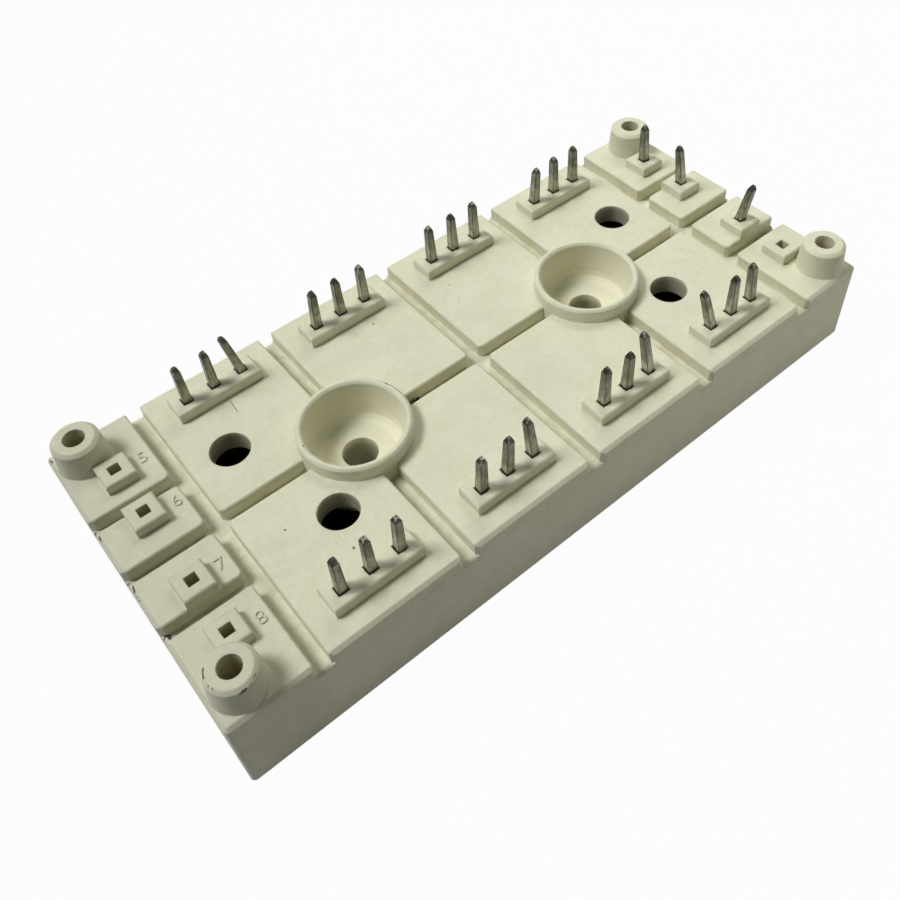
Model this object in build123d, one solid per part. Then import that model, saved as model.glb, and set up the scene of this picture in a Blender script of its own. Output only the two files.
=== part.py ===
"""Solder-pin power module: a moulded housing over a ceramic substrate with chips, ribbons and gel.

The long side runs along X, the short side along Y, and Z points up out of the heat sink face.
The origin is the middle of the heat sink face. All sizes are in millimetres.
"""

from build123d import *
import math
import os

# Housing outline and relief
LENGTH = 93.2
WIDTH = 41.5
PANEL_HEIGHT = 12.1
GROOVE_DEPTH = 1.9
CROSS_GROOVE_WIDTH = 1.8
COLUMN_PITCH = 18.0
ROW_GROOVE_WIDTH = 1.5
END_GROOVE_WIDTH = 1.6
END_GROOVE_Y = 8.1
CORNER_RADIUS = 0.6
PANEL_CORNER = 0.4
PANEL_END_CORNER = 0.55
PANEL_EDGE = 0.18
RIM_EDGE = 0.45
LIP_RADIUS = 0.5

# Housing walls
SIDE_WALL = 2.4
RIM_WALL = 1.4
TOP_WALL = 2.0
PANEL_WALL = 2.75
CORE_INSET = 1.2

# Terminal pins and what they come out of
PIN_SIDE = 1.04
PIN_SPACING = 3.6
PINS_PER_GROUP = 3
PIN_ROW_INSET = 4.55
PIN_HEIGHT = 19.1
PIN_SHOULDER_SIDE = 0.86
PIN_TIP_LENGTH = 0.6
PIN_TIP_SIDE = 0.44
PIN_FOOT_SIDE = 1.8
PIN_FOOT_THICKNESS = 0.5
PIN_OPENING = 1.32
END_PIN_INSET = 5.2
END_PIN_OUTER_Y = 12.6
END_PIN_INNER_Y = 5.4

# Raised rails round the pin groups and raised pads round the end pins
RAIL_RISE = 1.4
RAIL_MARGIN = 1.85
RAIL_WIDTH = 3.5
PAD_SIDE = 3.65
RAISED_EDGE = 0.18

# Corner bosses for the screws of a circuit board
BOSS_INSET_X = 3.4
BOSS_INSET_Y = 3.35
BOSS_RADIUS = 2.65
BOSS_FOOT_RADIUS = 3.0
BOSS_RISE = 3.8
BOSS_EDGE = 0.4
BOSS_HOLE_RADIUS = 1.25
BOSS_HOLE_DEPTH = 6.5

# Screw bowls and the columns under them
BOWL_RIM_RISE = 2.0
BOWL_OUTER_RADIUS = 6.75
BOWL_RADIUS = 5.85
BOWL_DEPTH = 5.7
BOWL_DRAFT = 0.35
BOWL_FOOT_RADIUS = 1.3
BOWL_FOOT_STEPS = 3
BOWL_RIM_EDGE = 0.3
SCREW_HOLE_RADIUS = 2.15
COLUMN_RADIUS = 3.9

# Round holes through the top
PORT_RADIUS = 2.38
BACK_PORT_X = 30.1
FRONT_PORT_X = 25.4
PORT_Y = 7.55

# Substrate
BOTTOM_COPPER = 0.3
CERAMIC = 0.63
TOP_COPPER = 0.3
SUBSTRATE_STANDOFF = 0.2
SUBSTRATE_GAP = 0.3
COPPER_MARGIN = 1.3
TRACK_GAP = 1.0
CERAMIC_HOLE_RADIUS = 2.6
BOTTOM_COPPER_HOLE_RADIUS = 3.2
TRACK_KEEP_OUT = 4.7
PHASE_TRACK_DEPTH = 9.15
PLUS_BUS_WIDTH = 2.2
CONTROL_PAD_WIDTH = 4.2
CONTROL_PAD_DEPTH = 5.2

# Chips, bond ribbons and gel
DIODE_SIDE = 6.0
DIODE_OFFSET = 4.0
SWITCH_SIDE = 9.0
CHIP_THICKNESS = 0.35
CHIP_SETBACK = 0.4
RIBBON_WIDTH = 2.0
RIBBON_THICKNESS = 0.2
RIBBON_FOOT = 0.8
RIBBON_LOOP = 1.5
RIBBON_SPACING = 2.6
CONTROL_RIBBON_WIDTH = 0.6
GEL_DEPTH = 4.0

# How far each bent pin's tip stands from straight, as worn pins on a used module do
PIN_LEANS = {
    "pin_back_03": (-0.92, 0.66),
    "pin_back_04": (0.30, 0.0),
    "pin_back_10": (0.20, -0.30),
    "pin_front_03": (0.14, -0.16),
    "pin_front_04": (0.12, -0.22),
    "pin_front_05": (0.33, -0.10),
    "pin_front_06": (-0.26, 0.50),
    "pin_front_07": (0.18, 0.0),
    "pin_front_08": (0.11, -0.13),
    "pin_front_09": (-0.14, 1.10),
    "pin_front_10": (-1.02, 1.0),
    "pin_front_11": (0.20, 0.19),
    "pin_front_12": (-0.22, 0.28),
    "pin_end_1": (0.0, 0.30),
    "pin_end_2": (-0.06, 0.88),
    "pin_end_3": (0.58, -0.72),
}

# Levels
COPPER_LEVEL = BOTTOM_COPPER + CERAMIC + TOP_COPPER
CERAMIC_TOP = BOTTOM_COPPER + CERAMIC
HOUSING_BASE = SUBSTRATE_STANDOFF
PANEL_TOP = HOUSING_BASE + PANEL_HEIGHT
GROOVE_FLOOR = PANEL_TOP - GROOVE_DEPTH
CEILING = GROOVE_FLOOR - TOP_WALL
RAISED_TOP = PANEL_TOP + RAIL_RISE
BOSS_TOP = PANEL_TOP + BOSS_RISE
RIM_TOP = PANEL_TOP + BOWL_RIM_RISE
BOWL_FLOOR = RIM_TOP - BOWL_DEPTH
PIN_TOP = HOUSING_BASE + PIN_HEIGHT
CHIP_LEVEL = COPPER_LEVEL + CHIP_THICKNESS
GEL_TOP = CERAMIC_TOP + GEL_DEPTH

# Places
HALF_LENGTH = LENGTH / 2
HALF_WIDTH = WIDTH / 2
PIN_ROW_Y = HALF_WIDTH - PIN_ROW_INSET
END_PIN_X = HALF_LENGTH - END_PIN_INSET
BOSS_X = HALF_LENGTH - BOSS_INSET_X
BOSS_Y = HALF_WIDTH - BOSS_INSET_Y
END_STRIP_X = 2 * COLUMN_PITCH
GROUP_CENTRES = [(column + 0.5) * COLUMN_PITCH for column in (-2, -1, 0, 1)]
CAVITY_X = HALF_LENGTH - SIDE_WALL
CAVITY_Y = HALF_WIDTH - SIDE_WALL
POCKET_X = HALF_LENGTH - RIM_WALL
POCKET_Y = HALF_WIDTH - RIM_WALL
SUBSTRATE_X = POCKET_X - SUBSTRATE_GAP
SUBSTRATE_Y = POCKET_Y - SUBSTRATE_GAP
COPPER_X = SUBSTRATE_X - COPPER_MARGIN
COPPER_Y = SUBSTRATE_Y - COPPER_MARGIN
SCREW_PLACES = [(-COLUMN_PITCH, 0), (COLUMN_PITCH, 0)]
PORT_PLACES = [
    (-BACK_PORT_X, PORT_Y),
    (BACK_PORT_X, PORT_Y),
    (-FRONT_PORT_X, -PORT_Y),
    (FRONT_PORT_X, -PORT_Y),
]


def block(x_range, y_range, z_range):
    """A plain box between three pairs of limits."""
    sizes = [high - low for low, high in (x_range, y_range, z_range)]
    centre = [(high + low) / 2 for low, high in (x_range, y_range, z_range)]
    return Pos(*centre) * Box(*sizes)


def rod(x, y, radius, z_low, z_high):
    """An upright cylinder."""
    return Pos(x, y, (z_low + z_high) / 2) * Cylinder(radius, z_high - z_low)


def raised_block(x_range, y_range, top):
    """A moulded block that stands on the groove floor, with its top edge broken."""
    solid = block(x_range, y_range, (GROOVE_FLOOR, top))
    return chamfer(solid.faces().sort_by(Axis.Z)[-1].edges(), RAISED_EDGE)


def square_block(x, y, side, z_low, z_high):
    """An upright square bar, centred on a place."""
    half = side / 2
    return block((x - half, x + half), (y - half, y + half), (z_low, z_high))


def panel_limits():
    """The plan limits of every raised panel: two end strips of four and a field of two rows."""
    cross = CROSS_GROOVE_WIDTH / 2
    row = ROW_GROOVE_WIDTH / 2
    end = END_GROOVE_WIDTH / 2
    limits = []
    for x_range in (
        (-HALF_LENGTH, -END_STRIP_X - cross),
        (END_STRIP_X + cross, HALF_LENGTH),
    ):
        limits.append((x_range, (END_GROOVE_Y + end, HALF_WIDTH)))
        limits.append((x_range, (end, END_GROOVE_Y - end)))
        limits.append((x_range, (-END_GROOVE_Y + end, -end)))
        limits.append((x_range, (-HALF_WIDTH, -END_GROOVE_Y - end)))
    for centre in GROUP_CENTRES:
        half = COLUMN_PITCH / 2 - cross
        x_range = (centre - half, centre + half)
        limits.append((x_range, (row, HALF_WIDTH)))
        limits.append((x_range, (-HALF_WIDTH, -row)))
    return limits


def core_limits(limits):
    """The hollow under a panel, which keeps the moulded wall even."""
    (x_low, x_high), (y_low, y_high) = limits
    x_range = (max(x_low + CORE_INSET, -CAVITY_X), min(x_high - CORE_INSET, CAVITY_X))
    y_range = (max(y_low + CORE_INSET, -CAVITY_Y), min(y_high - CORE_INSET, CAVITY_Y))
    return x_range, y_range


def group_pin_places():
    """Plan places of the pins in the eight groups, by node name."""
    places = {}
    for side, y in (("back", PIN_ROW_Y), ("front", -PIN_ROW_Y)):
        number = 0
        for centre in GROUP_CENTRES:
            for step in range(PINS_PER_GROUP):
                number += 1
                x = centre + (step - (PINS_PER_GROUP - 1) / 2) * PIN_SPACING
                places[f"pin_{side}_{number:02d}"] = (x, y)
    return places


def end_pad_places():
    """Plan places of the square pads on the two end strips."""
    rows = (END_PIN_OUTER_Y, END_PIN_INNER_Y, -END_PIN_INNER_Y, -END_PIN_OUTER_Y)
    return [(x, y) for x in (-END_PIN_X, END_PIN_X) for y in rows]


def end_pin_places():
    """Only three pads of the right-hand strip carry a pin."""
    rows = (END_PIN_OUTER_Y, END_PIN_INNER_Y, -END_PIN_INNER_Y)
    return {f"pin_end_{index + 1}": (END_PIN_X, y) for index, y in enumerate(rows)}


def boss_places():
    return [(x, y) for x in (-BOSS_X, BOSS_X) for y in (-BOSS_Y, BOSS_Y)]


def groove_lip(x, y, width, turn):
    """What rounds off a groove's floor where it runs out through an outer face."""
    with BuildSketch(Plane.YZ) as profile:
        with BuildLine():
            RadiusArc((-LIP_RADIUS, 0), (0, -LIP_RADIUS), LIP_RADIUS)
            Polyline((0, -LIP_RADIUS), (0, 0), (-LIP_RADIUS, 0))
        make_face()
    return Pos(x, y, GROOVE_FLOOR) * Rot(0, 0, turn) * extrude(profile.sketch, width / 2, both=True)


def bowl_foot():
    """Profile points that ease the bowl's floor into its wall in a few equal turns."""
    centre_x = BOWL_RADIUS - BOWL_DRAFT - BOWL_FOOT_RADIUS
    centre_z = BOWL_FLOOR + BOWL_FOOT_RADIUS
    turns = [math.radians(90 * step / BOWL_FOOT_STEPS) for step in range(BOWL_FOOT_STEPS + 1)]
    return [
        (centre_x + BOWL_FOOT_RADIUS * math.sin(turn), centre_z - BOWL_FOOT_RADIUS * math.cos(turn))
        for turn in turns
    ]


def make_bowl_cut():
    """The turned hollow of a screw bowl: a broken rim, a drafted wall, an eased foot and a flat floor."""
    with BuildSketch(Plane.XZ) as profile:
        with BuildLine():
            Polyline(
                (0, BOWL_FLOOR),
                *bowl_foot(),
                (BOWL_RADIUS, RIM_TOP - BOWL_RIM_EDGE),
                (BOWL_RADIUS + BOWL_RIM_EDGE, RIM_TOP),
                (0, RIM_TOP),
                close=True,
            )
        make_face()
    return revolve(profile.sketch, Axis.Z)


def make_bowl_ring():
    """The raised wall round a bowl with its closed underside, before it is hollowed."""
    ring = rod(0, 0, BOWL_OUTER_RADIUS, BOWL_FLOOR - TOP_WALL, RIM_TOP)
    return chamfer(ring.edges().sort_by(Axis.Z)[-1], BOWL_RIM_EDGE)


def outline(z_low, z_high):
    """The housing's plan outline, with its rounded corners, as a prism."""
    prism = block((-HALF_LENGTH, HALF_LENGTH), (-HALF_WIDTH, HALF_WIDTH), (z_low, z_high))
    return fillet(prism.edges().filter_by(Axis.Z), CORNER_RADIUS)


def upright_edges(solid, at_end):
    """The upright edges of a panel that lie at the housing's end, short of its corners, or all that don't."""
    edges = solid.edges().filter_by(Axis.Z)
    if at_end:
        edges = edges.filter_by(lambda edge: abs(edge.center().Y) < HALF_WIDTH - PANEL_EDGE)
    return edges.filter_by(lambda edge: (abs(edge.center().X) > HALF_LENGTH - PANEL_EDGE) == at_end)


def make_panel(x_range, y_range, rim):
    """A raised panel: its corners eased in plan, its top edge broken, and trimmed to the housing's rim."""
    panel = block(x_range, y_range, (GROOVE_FLOOR, PANEL_TOP))
    panel = chamfer(upright_edges(panel, False), PANEL_CORNER)
    end_corners = upright_edges(panel, True)
    if end_corners:
        panel = chamfer(end_corners, PANEL_END_CORNER)
    return chamfer(panel.faces().sort_by(Axis.Z)[-1].edges(), PANEL_EDGE) & rim


def make_outer_shell():
    """The lower body with the raised panels on it."""
    body = outline(HOUSING_BASE, GROOVE_FLOOR)
    rim = outline(GROOVE_FLOOR, PANEL_TOP)
    rim = chamfer(rim.faces().sort_by(Axis.Z)[-1].edges(), RIM_EDGE)
    return body + [make_panel(x_range, y_range, rim) for x_range, y_range in panel_limits()]


def groove_lips():
    """Roundings at every place where a groove runs out through an outer face."""
    lips = []
    for step in (-2, -1, 0, 1, 2):
        lips.append(groove_lip(step * COLUMN_PITCH, HALF_WIDTH, CROSS_GROOVE_WIDTH, 0))
        lips.append(groove_lip(step * COLUMN_PITCH, -HALF_WIDTH, CROSS_GROOVE_WIDTH, 180))
    for y in (-END_GROOVE_Y, 0, END_GROOVE_Y):
        lips.append(groove_lip(HALF_LENGTH, y, END_GROOVE_WIDTH, -90))
        lips.append(groove_lip(-HALF_LENGTH, y, END_GROOVE_WIDTH, 90))
    return lips


def make_boss(x, y):
    """A slightly conical boss that grows out of its panel, on a root that takes the bottom of its hole."""
    slope = (BOSS_FOOT_RADIUS - BOSS_RADIUS) / BOSS_RISE
    low_radius = BOSS_FOOT_RADIUS + slope * GROOVE_DEPTH
    cone = Cone(low_radius, BOSS_RADIUS, BOSS_TOP - GROOVE_FLOOR)
    cone = chamfer(cone.edges().sort_by(Axis.Z)[-1], BOSS_EDGE)
    return Pos(x, y, (GROOVE_FLOOR + BOSS_TOP) / 2) * cone + rod(x, y, BOSS_RADIUS, CEILING, GROOVE_FLOOR)


def pad_depth(y):
    """The limits of a pad along Y: the inner pads run out flush with their panel's wall."""
    low, high = y - PAD_SIDE / 2, y + PAD_SIDE / 2
    wall = END_GROOVE_Y - END_GROOVE_WIDTH / 2
    if y == END_PIN_INNER_Y:
        high = wall
    elif y == -END_PIN_INNER_Y:
        low = -wall
    return low, high


def make_raised_features():
    """Rails, pads and bosses that stand on the panels."""
    rail_x = (PINS_PER_GROUP - 1) * PIN_SPACING / 2 + RAIL_MARGIN
    rail_y = RAIL_WIDTH / 2
    pad = PAD_SIDE / 2
    features = []
    for centre in GROUP_CENTRES:
        for y in (-PIN_ROW_Y, PIN_ROW_Y):
            x_range = (centre - rail_x, centre + rail_x)
            features.append(raised_block(x_range, (y - rail_y, y + rail_y), RAISED_TOP))
    for x, y in end_pad_places():
        features.append(raised_block((x - pad, x + pad), pad_depth(y), RAISED_TOP))
    return features + [make_boss(x, y) for x, y in boss_places()]


def make_housing():
    """The moulded housing, open underneath, with its bowls, columns, holes and pin openings."""
    shell = make_outer_shell() - groove_lips()
    hollows = [
        block((-CAVITY_X, CAVITY_X), (-CAVITY_Y, CAVITY_Y), (HOUSING_BASE, CEILING)),
        block((-POCKET_X, POCKET_X), (-POCKET_Y, POCKET_Y), (HOUSING_BASE, CERAMIC_TOP)),
    ]
    for limits in panel_limits():
        x_range, y_range = core_limits(limits)
        hollows.append(block(x_range, y_range, (CEILING, PANEL_TOP - PANEL_WALL)))
    shell -= hollows

    shell += make_raised_features()
    ring = make_bowl_ring()
    shell += [Pos(x, y, 0) * ring for x, y in SCREW_PLACES]
    shell += [rod(x, y, COLUMN_RADIUS, CERAMIC_TOP, BOWL_FLOOR) for x, y in SCREW_PLACES]

    bowl = make_bowl_cut()
    cuts = [Pos(x, y, 0) * bowl for x, y in SCREW_PLACES]
    cuts += [rod(x, y, SCREW_HOLE_RADIUS, HOUSING_BASE, RIM_TOP) for x, y in SCREW_PLACES]
    cuts += [rod(x, y, PORT_RADIUS, CEILING, RAISED_TOP) for x, y in PORT_PLACES]
    cuts += [rod(x, y, BOSS_HOLE_RADIUS, BOSS_TOP - BOSS_HOLE_DEPTH, BOSS_TOP) for x, y in boss_places()]
    for x, y in list(group_pin_places().values()) + end_pad_places():
        cuts.append(square_block(x, y, PIN_OPENING, CEILING, RAISED_TOP))
    return shell - cuts


def make_bottom_copper():
    """The copper face that meets the heat sink."""
    plate = block((-COPPER_X, COPPER_X), (-COPPER_Y, COPPER_Y), (0, BOTTOM_COPPER))
    holes = [rod(x, y, BOTTOM_COPPER_HOLE_RADIUS, 0, BOTTOM_COPPER) for x, y in SCREW_PLACES]
    return plate - holes


def make_ceramic():
    """The insulating plate, with a hole for each mounting screw."""
    z_range = (BOTTOM_COPPER, CERAMIC_TOP)
    plate = block((-SUBSTRATE_X, SUBSTRATE_X), (-SUBSTRATE_Y, SUBSTRATE_Y), z_range)
    holes = [rod(x, y, CERAMIC_HOLE_RADIUS, *z_range) for x, y in SCREW_PLACES]
    return plate - holes


def make_seal():
    """The bead of adhesive between the ceramic's edge and the housing's pocket."""
    z_range = (BOTTOM_COPPER, CERAMIC_TOP)
    outer = block((-POCKET_X, POCKET_X), (-POCKET_Y, POCKET_Y), z_range)
    return outer - block((-SUBSTRATE_X, SUBSTRATE_X), (-SUBSTRATE_Y, SUBSTRATE_Y), z_range)


def track(*areas):
    """A copper track made of one or more rectangles, kept clear of the screw columns."""
    z_range = (CERAMIC_TOP, COPPER_LEVEL)
    solid = block(*areas[0], z_range)
    for area in areas[1:]:
        solid += block(*area, z_range)
    return solid - [rod(x, y, TRACK_KEEP_OUT, *z_range) for x, y in SCREW_PLACES]


def make_tracks():
    """The copper tracks on top of the ceramic, by node name."""
    gap = TRACK_GAP / 2
    phase_low = COPPER_Y - PHASE_TRACK_DEPTH
    bus_high = phase_low - TRACK_GAP
    bus_low = bus_high - PLUS_BUS_WIDTH
    front_high = bus_low - TRACK_GAP
    pad_x = (COPPER_X - CONTROL_PAD_WIDTH, COPPER_X)
    power_edge = pad_x[0] - TRACK_GAP
    phase_y = (phase_low, COPPER_Y)
    front_y = (-COPPER_Y, front_high)
    half_pad = CONTROL_PAD_DEPTH / 2

    def pad(y):
        return track((pad_x, (y - half_pad, y + half_pad)))

    return {
        "track_phase_1": track(((-COPPER_X, -COLUMN_PITCH - gap), phase_y)),
        "track_phase_2": track(((-COLUMN_PITCH + gap, -gap), phase_y)),
        "track_phase_3": track(((gap, COLUMN_PITCH - gap), phase_y)),
        "track_plus": track(
            ((-COPPER_X, power_edge), (bus_low, bus_high)),
            ((COLUMN_PITCH + gap, power_edge), (bus_low, COPPER_Y)),
        ),
        "track_minus": track(((-COPPER_X, COLUMN_PITCH - gap), front_y)),
        "track_brake": track(((COLUMN_PITCH + gap, power_edge), front_y)),
        "pad_plus_sense": pad(END_PIN_OUTER_Y),
        "pad_emitter_sense": pad(END_PIN_INNER_Y),
        "pad_gate": pad(-END_PIN_INNER_Y),
    }


def chip(x, y, side):
    """A bare chip on the copper."""
    return square_block(x, y, side, COPPER_LEVEL, CHIP_LEVEL)


def chip_places():
    """Plan place and side of every chip, by node name.

    The diodes with the longer ribbons sit on the side away from the nearest screw column.
    """
    low_edge = COPPER_Y - PHASE_TRACK_DEPTH
    y = low_edge + CHIP_SETBACK + DIODE_SIDE / 2
    places = {}
    for index, centre in enumerate(GROUP_CENTRES[:3]):
        screw_x = min(SCREW_PLACES, key=lambda place: abs(place[0] - centre))[0]
        away = DIODE_OFFSET if centre > screw_x else -DIODE_OFFSET
        places[f"diode_plus_{index + 1}"] = (centre - away, y, DIODE_SIDE)
        places[f"diode_minus_{index + 1}"] = (centre + away, y, DIODE_SIDE)
    bus_low = low_edge - TRACK_GAP - PLUS_BUS_WIDTH
    brake_x = GROUP_CENTRES[3]
    places["diode_brake"] = (brake_x + DIODE_OFFSET, bus_low + CHIP_SETBACK + DIODE_SIDE / 2, DIODE_SIDE)
    switch_y = -(PIN_ROW_Y - PIN_FOOT_SIDE / 2 - CHIP_SETBACK - SWITCH_SIDE / 2)
    places["switch_brake"] = (brake_x - CHIP_SETBACK, switch_y, SWITCH_SIDE)
    return places


def ribbon(start, end, start_level, end_level, width=RIBBON_WIDTH):
    """A bond ribbon: two flat feet and a loop between them, in an upright plane."""
    run = Vector(end[0] - start[0], end[1] - start[1])
    span = run.length
    top = max(start_level, end_level) + RIBBON_LOOP
    shoulder = (span - 2 * RIBBON_FOOT) / 3
    lower = [
        (0, start_level),
        (RIBBON_FOOT, start_level),
        (RIBBON_FOOT + shoulder, top),
        (span - RIBBON_FOOT - shoulder, top),
        (span - RIBBON_FOOT, end_level),
        (span, end_level),
    ]
    upper = [(x, z + RIBBON_THICKNESS) for x, z in reversed(lower)]
    with BuildSketch(Plane.XZ) as profile:
        with BuildLine():
            Polyline(*lower, *upper, close=True)
        make_face()
    strip = extrude(profile.sketch, width / 2, both=True)
    angle = Vector(1, 0).get_signed_angle(run, Vector(0, 0, 1))
    return Pos(start[0], start[1], 0) * Rot(0, 0, angle) * strip


def make_control_ribbons(switch):
    """Thin ribbons from the switch to its two pads, and from the plus track to its pad."""
    x, y, side = switch
    beside_pin = PIN_FOOT_SIDE / 2 + CONTROL_RIBBON_WIDTH
    pad_edge = COPPER_X - CONTROL_PAD_WIDTH
    pad_end = pad_edge + 2 * RIBBON_FOOT
    chip_start = x + side / 2 - 2 * RIBBON_FOOT
    plus_start = pad_edge - TRACK_GAP - 2 * RIBBON_FOOT
    gate_y = -END_PIN_INNER_Y - beside_pin
    emitter_y = END_PIN_INNER_Y - beside_pin
    plus_y = END_PIN_OUTER_Y + beside_pin
    links = [
        ((chip_start, y), (pad_end, gate_y), CHIP_LEVEL),
        ((chip_start, y + RIBBON_SPACING), (pad_end, emitter_y), CHIP_LEVEL),
        ((plus_start, plus_y), (pad_end, plus_y), COPPER_LEVEL),
    ]
    return [
        ribbon(start, end, level, COPPER_LEVEL, CONTROL_RIBBON_WIDTH) for start, end, level in links
    ]


def make_ribbons():
    """The bond ribbons, in the groups that join each chip to its neighbours."""
    places = chip_places()
    phase_low = COPPER_Y - PHASE_TRACK_DEPTH
    bus_end = phase_low - TRACK_GAP - PLUS_BUS_WIDTH / 2 - RIBBON_FOOT / 2
    front_end = phase_low - 2 * TRACK_GAP - PLUS_BUS_WIDTH - 2 * RIBBON_FOOT
    groups = {}
    for number in (1, 2, 3):
        ribbons = []
        for name, y_end in (("plus", bus_end), ("minus", front_end)):
            x, y, side = places[f"diode_{name}_{number}"]
            ribbons.append(ribbon((x, y), (x, y_end), CHIP_LEVEL, COPPER_LEVEL))
        groups[f"ribbons_phase_{number}"] = Compound(ribbons)

    x, y, side = places["switch_brake"]
    minus_x = COLUMN_PITCH - TRACK_GAP / 2 - 2 * RIBBON_FOOT
    brake = []
    for offset in (-RIBBON_SPACING / 2, RIBBON_SPACING / 2):
        brake.append(ribbon((x, y + offset), (minus_x, y + offset), CHIP_LEVEL, COPPER_LEVEL))
    x, y, side = places["diode_brake"]
    brake.append(ribbon((x, y), (x, front_end), CHIP_LEVEL, COPPER_LEVEL))
    groups["ribbons_brake"] = Compound(brake)
    groups["ribbons_control"] = Compound(make_control_ribbons(places["switch_brake"]))
    return groups


def tapered_bar(sections):
    """A bar with flat sides through level squares, each given by its centre, level and side."""
    rings = []
    for x, y, z, side in sections:
        signs = ((-0.5, -0.5), (0.5, -0.5), (0.5, 0.5), (-0.5, 0.5))
        rings.append([(x + a * side, y + b * side, z) for a, b in signs])
    outlines = [rings[0], rings[-1]]
    for low, high in zip(rings, rings[1:]):
        for i in range(4):
            j = (i + 1) % 4
            outlines.append([low[i], low[j], high[j], high[i]])
    return Solid(Shell([Face(Wire.make_polygon(points)) for points in outlines]))


def make_pin(x, y, lean):
    """A square terminal pin: a soldered foot, a straight shank, and a tapered, blunt end that may lean."""
    foot = square_block(x, y, PIN_FOOT_SIDE, COPPER_LEVEL, COPPER_LEVEL + PIN_FOOT_THICKNESS)
    shank = square_block(x, y, PIN_SIDE, COPPER_LEVEL, RAISED_TOP)
    levels = (RAISED_TOP, PIN_TOP - PIN_TIP_LENGTH, PIN_TOP)
    sections = []
    for z, side in zip(levels, (PIN_SIDE, PIN_SHOULDER_SIDE, PIN_TIP_SIDE)):
        share = (z - RAISED_TOP) / (PIN_TOP - RAISED_TOP)
        sections.append((x + share * lean[0], y + share * lean[1], z, side))
    return shank + foot + tapered_bar(sections)


def make_pins():
    """Every terminal pin, by node name."""
    places = {**group_pin_places(), **end_pin_places()}
    return {name: make_pin(x, y, PIN_LEANS.get(name, (0.0, 0.0))) for name, (x, y) in places.items()}


def make_gel(inner_pieces):
    """The soft gel that fills the housing above the substrate and covers what stands on it."""
    fill = block((-CAVITY_X, CAVITY_X), (-CAVITY_Y, CAVITY_Y), (CERAMIC_TOP, GEL_TOP))
    columns = [rod(x, y, COLUMN_RADIUS, CERAMIC_TOP, GEL_TOP) for x, y in SCREW_PLACES]
    return fill - columns - inner_pieces


def solids_of(shapes):
    """Every solid in a row of shapes."""
    return [solid for shape in shapes for solid in shape.solids()]


nodes = {
    "housing": make_housing(),
    "bottom_copper": make_bottom_copper(),
    "ceramic_plate": make_ceramic(),
    "adhesive_seal": make_seal(),
}
nodes.update(make_tracks())
nodes.update({name: chip(*place) for name, place in chip_places().items()})
nodes.update(make_ribbons())
nodes.update(make_pins())
outer_names = ("housing", "bottom_copper", "ceramic_plate", "adhesive_seal")
nodes["gel_fill"] = make_gel(solids_of(shape for name, shape in nodes.items() if name not in outer_names))

os.makedirs("parts", exist_ok=True)
for name, shape in nodes.items():
    export_step(shape, f"parts/{name}.step")
    print(f"{name}: {len(shape.solids())} solid(s), {shape.volume:.2f} mm3")
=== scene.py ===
"""Power module with solder pins: finishes, small marks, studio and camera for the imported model."""
import logging
import math
from dataclasses import dataclass, field
from enum import Enum
from functools import cached_property

import bpy
from mathutils import Matrix, Vector


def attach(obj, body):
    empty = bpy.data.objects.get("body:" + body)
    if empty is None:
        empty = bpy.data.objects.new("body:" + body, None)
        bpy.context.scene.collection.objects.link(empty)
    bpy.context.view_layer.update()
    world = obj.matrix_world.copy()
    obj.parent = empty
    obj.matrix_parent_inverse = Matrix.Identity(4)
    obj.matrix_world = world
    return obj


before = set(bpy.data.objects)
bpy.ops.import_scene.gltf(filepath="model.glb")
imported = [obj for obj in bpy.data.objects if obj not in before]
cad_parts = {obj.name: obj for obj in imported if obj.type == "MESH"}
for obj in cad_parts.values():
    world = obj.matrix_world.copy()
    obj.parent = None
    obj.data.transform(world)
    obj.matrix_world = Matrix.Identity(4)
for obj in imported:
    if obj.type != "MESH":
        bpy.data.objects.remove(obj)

LOG = logging.getLogger("power_module")

Colour = tuple[float, float, float]
Place = tuple[float, float, float]
Node = bpy.types.Node
Socket = bpy.types.NodeSocket
Value = Socket | float | Place

MM = 0.001
ORIGIN: Place = (0.0, 0.0, 0.0)
WHITE: Colour = (1.0, 1.0, 1.0)
NOISE_MIDDLE = 0.5

# Types of a group's sockets, and the numbers of a Mix node's sockets for colours.
NUMBER, VECTOR = "NodeSocketFloat", "NodeSocketVector"
MIX_FACTOR, MIX_FIRST, MIX_SECOND, MIX_RESULT = 0, 6, 7, 2


def srgb(red: int, green: int, blue: int) -> Colour:
    """Turns a colour as painters mix it, 0 to 255, into linear light.

    Args:
        red: red part.
        green: green part.
        blue: blue part.

    Returns:
        The three linear parts from 0 to 1.
    """
    parts = (red / 255, green / 255, blue / 255)
    linear = [part / 12.92 if part <= 0.04045 else ((part + 0.055) / 1.055) ** 2.4
              for part in parts]
    return linear[0], linear[1], linear[2]


def mm(x: float, y: float, z: float) -> Place:
    """Gives a place in millimetres as metres."""
    return x * MM, y * MM, z * MM


class Level(Enum):
    """Heights of the module's flat places above the heat sink face, in millimetres."""

    BOWL_FLOOR = 8.6
    GROOVE = 10.4
    PANEL = 12.3
    RAIL = 13.7
    RIM = 14.3
    BOSS = 16.1
    PIN_TIP = 19.3

    def over(self, up: float) -> float:
        """Gives the height in metres of what lies so many millimetres over this level."""
        return (self.value + up) * MM

    def at(self, x: float, y: float, up: float = 0.0) -> Place:
        """Gives a place on this level, or so many millimetres over it, as metres."""
        return mm(x, y, self.value + up)


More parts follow.
